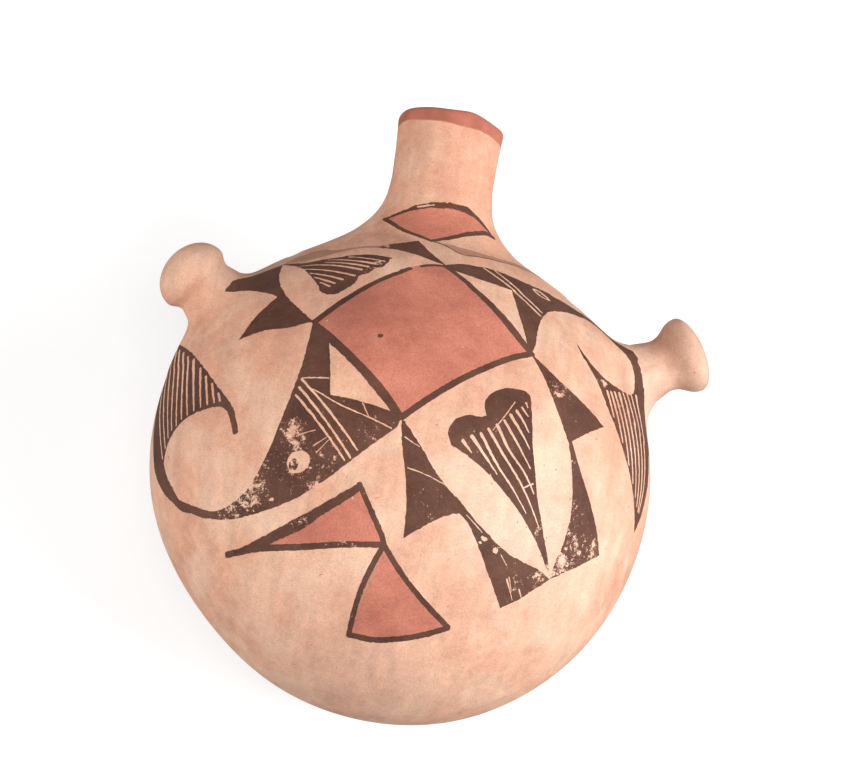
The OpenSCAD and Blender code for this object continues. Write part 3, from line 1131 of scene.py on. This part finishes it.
def slip_tint(shader):
    """The pinkish cream slip: cloudy, with faint polishing strokes, fine grain and a few brown specks."""
    tint = shader.ramp(
        shader.noise(24, 5, 0.62, distortion=0.5),
        (0.30, colour(217, 158, 130)),
        (0.45, colour(230, 172, 143)),
        (0.60, colour(237, 182, 153)),
        (0.76, colour(243, 196, 168)),
    )
    bloom = shader.ramp(shader.noise(40, 5, 0.62), (0.44, 0.0), (0.62, 0.42))
    tint = shader.mix(bloom, tint, colour(250, 218, 190))
    # Pinker slip on the neck, and painted shade deepening the shaded left side
    tint = shader.mix(shader.layer("pink_and_shade"), tint, shader.times(tint, PINK_AND_SHADE_FACTOR))
    # Painted light: paler slip where the light falls
    tint = shader.mix(shader.layer("painted_light"), tint, shader.mix(0.32, tint, colour(255, 246, 226)))
    # Painted shade: darker slip towards the bottom and on the left
    tint = shader.mix(shader.layer("painted_shade"), tint, shader.mix(0.75, tint, colour(227, 179, 154)))
    tint = shader.dapple(tint, shader.noise(150, 3, 0.55, POLISH_STRETCH), 0.32, 0.84, 0.66)
    tint = shader.dapple(tint, shader.noise(230, 3, 0.6), 0.3, 0.90, 0.66)
    tint = shader.dapple(tint, shader.noise(1250, 2, 0.6), 0.28, 0.80, 0.60)
    specks = shader.ramp(shader.noise(420, 2, 0.5), (0.22, 1.0), (0.29, 0.0))
    tint = shader.mix(specks, tint, colour(184, 122, 96))
    # Grey-brown patches over the slip, broken up by noise
    patchy = shader.ramp(shader.noise(95, 4, 0.6), (0.3, 0.5), (0.6, 1.0))
    grey_brown_patch = shader.math("MULTIPLY", shader.layer("grey_brown_patch"), patchy)
    tint = shader.mix(grey_brown_patch, tint, colour(172, 122, 102))
    return with_lip_band(shader, tint)


def with_lip_band(shader, tint):
    """The brown-red paint of the lip, with a ragged edge."""
    ragged = shader.math("MULTIPLY", shader.noise(260, 4, 0.6), 0.7)
    painted = shader.ramp(shader.math("ADD", shader.layer("lip_band"), ragged), (0.62, 0.0), (1.05, 1.0))
    band = shader.ramp(shader.noise(60, 4, 0.6), (0.34, colour(158, 93, 76)), (0.66, colour(190, 113, 94)))
    return shader.mix(painted, tint, band)


def clay_relief(shader, strength):
    fine = shader.noise(900, 4, 0.6)
    strokes = shader.noise(170, 2, 0.5, POLISH_STRETCH)
    shader.bump(shader.math("ADD", fine, strokes), strength, RELIEF_H)


def slip_material():
    shader = Shader("cream_slip", 0.62)
    clay_relief(shader, 0.25)
    return shader.finish(slip_tint(shader))


def paint_material(name, light, dark, flake, roughness):
    """Paint brushed over the slip, which shows where flakes are missing, most of all at worn places."""
    shader = Shader(name, roughness)
    body = shader.ramp(shader.noise(42, 6, 0.7), (0.34, dark), (0.66, light))
    body = shader.dapple(body, shader.noise(1100, 2, 0.65), 0.3, 0.76, 0.62)
    # Painted shade: darker paint towards the bottom and on the left
    body = shader.mix(shader.layer("painted_shade"), body, shader.times(body, PAINTED_SHADE_FACTOR))
    wear = shader.layer("wear")
    patches = shader.math("ADD", shader.noise(230, 8, 0.8), shader.math("MULTIPLY", wear, 0.2))
    flecks = shader.math("ADD", shader.noise(640, 5, 0.75), shader.math("MULTIPLY", wear, 0.15))
    missing = shader.math(
        "MAXIMUM",
        shader.ramp(patches, (flake, 0.0), (flake + 0.025, 1.0)),
        shader.ramp(flecks, (flake + 0.01, 0.0), (flake + 0.05, 0.9)),
    )
    clay_relief(shader, 0.2)
    return shader.finish(shader.mix(missing, body, slip_tint(shader)))


def bare_clay_material():
    shader = Shader("bare_clay", 0.85)
    tint = shader.ramp(shader.noise(60, 5, 0.6), (0.35, colour(176, 118, 92)), (0.7, colour(206, 150, 120)))
    clay_relief(shader, 0.5)
    return shader.finish(shader.dapple(tint, shader.noise(800, 3, 0.6), 0.3, 0.85, 0.65))


def vessel_materials():
    """In the order of the numbers SLIP, BLACK, RED, WASH and CLAY."""
    return [
        slip_material(),
        paint_material("black_paint", colour(109, 72, 57), colour(82, 51, 40), 0.675, 0.7),
        paint_material("red_paint", colour(213, 134, 111), colour(182, 108, 89), 0.735, 0.66),
        paint_material("grey_wash", colour(196, 146, 122), colour(172, 122, 100), 0.70, 0.7),
        bare_clay_material(),
    ]


# Stage, light and camera: lengths from here on are in metres

# The floor's size and depth below the rest, its own tone and how far it is lifted for the camera alone
FLOOR_SIZE = 4.0
FLOOR_DROP = 0.0003
FLOOR_TONE = 0.4
FLOOR_LIFT = 0.66
# Light from the surroundings, which the camera sees as plain white
WORLD_LIGHT = 0.1
# Each lamp's name, place, size and power
LAMPS = [
    ("key", (1.23, -0.32, 1.0), 1.1, 32),
    ("front_fill", (-0.2, -0.9, 1.6), 1.1, 16),
    ("left_fill", (-1.6, -0.35, 0.5), 1.0, 17),
    ("neck_fill", (0.2, 1.4, 0.9), 1.0, 5),
]


def camera_ray(tree, target):
    """Sets a socket to 1 for what the camera sees itself, and to 0 for all other light."""
    path = tree.nodes.new("ShaderNodeLightPath")
    tree.links.new(path.outputs["Is Camera Ray"], target)


def floor_material():
    material = bpy.data.materials.new("pale_floor")
    material.use_nodes = True
    tree = material.node_tree
    bsdf = tree.nodes["Principled BSDF"]
    bsdf.inputs["Base Color"].default_value = (FLOOR_TONE, FLOOR_TONE, FLOOR_TONE, 1)
    bsdf.inputs["Roughness"].default_value = 0.9
    bsdf.inputs["Emission Color"].default_value = (1, 1, 1, 1)
    lift = tree.nodes.new("ShaderNodeMath")
    lift.operation = "MULTIPLY"
    lift.inputs[1].default_value = FLOOR_LIFT
    camera_ray(tree, lift.inputs[0])
    tree.links.new(lift.outputs["Value"], bsdf.inputs["Emission Strength"])
    return material


def build_floor():
    mesh = bpy.data.meshes.new("floor")
    turns = [(-1, -1), (1, -1), (1, 1), (-1, 1)]
    corners = [(x * FLOOR_SIZE, y * FLOOR_SIZE, -FLOOR_DROP) for x, y in turns]
    mesh.from_pydata(corners, [], [(0, 1, 2, 3)])
    mesh.materials.append(floor_material())
    placed("floor", mesh)


def build_world():
    world = bpy.data.worlds.new("studio")
    bpy.context.scene.world = world
    world.use_nodes = True
    tree = world.node_tree
    background = tree.nodes["Background"]
    background.inputs["Color"].default_value = (1.0, 0.985, 0.97, 1)
    strength = tree.nodes.new("ShaderNodeMix")
    strength.inputs["A"].default_value = WORLD_LIGHT
    strength.inputs["B"].default_value = 1.0
    camera_ray(tree, strength.inputs["Factor"])
    tree.links.new(strength.outputs["Result"], background.inputs["Strength"])


def add_lamp(name, place, size, power):
    """A square soft lamp that points at the vessel's middle."""
    lamp = bpy.data.lights.new(name, "AREA")
    lamp.shape = "SQUARE"
    lamp.size = size
    lamp.energy = power
    stand = placed(name, lamp)
    stand.location = place
    aim = Vector((0, 0, BACK_H * MM)) - Vector(place)
    stand.rotation_euler = aim.to_track_quat("-Z", "Y").to_euler()


def camera_axes():
    """The camera's right, up and backward directions, from its turn, elevation and roll."""
    turn = math.radians(CAMERA_TURN)
    elevation = math.radians(CAMERA_ELEVATION)
    roll = math.radians(CAMERA_ROLL)
    backward = np.array([math.cos(elevation) * math.sin(turn), -math.cos(elevation) * math.cos(turn),
                         math.sin(elevation)])
    level_up = np.array([-math.sin(elevation) * math.sin(turn), math.sin(elevation) * math.cos(turn),
                         math.cos(elevation)])
    level_right = np.cross(-backward, level_up)
    right = math.cos(roll) * level_right + math.sin(roll) * level_up
    up = -math.sin(roll) * level_right + math.cos(roll) * level_up
    return right, up, backward


def build_camera():
    right, up, backward = camera_axes()
    pixel = CAMERA_DISTANCE * SENSOR_W / (CAMERA_LENS * FRAME_W)
    beside = (BODY_CENTRE_PX[0] - FRAME_W / 2) * pixel
    above = (FRAME_H / 2 - BODY_CENTRE_PX[1]) * pixel
    place = np.array([0, 0, BACK_H]) + CAMERA_DISTANCE * backward - beside * right - above * up
    data = bpy.data.cameras.new("camera")
    data.sensor_width = SENSOR_W
    data.sensor_fit = "HORIZONTAL"
    data.lens = CAMERA_LENS
    camera = placed("camera", data)
    turn = Matrix([list(right), list(up), list(backward)]).transposed().to_4x4()
    camera.matrix_world = Matrix.Translation(Vector(place * MM)) @ turn
    bpy.context.scene.camera = camera


build_camera()
build_world()
build_floor()
for lamp in LAMPS:
    add_lamp(*lamp)
bpy.context.scene.view_settings.view_transform = "Standard"

vessel = build_vessel(vessel_materials())
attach(vessel, "root")
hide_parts("canteen")
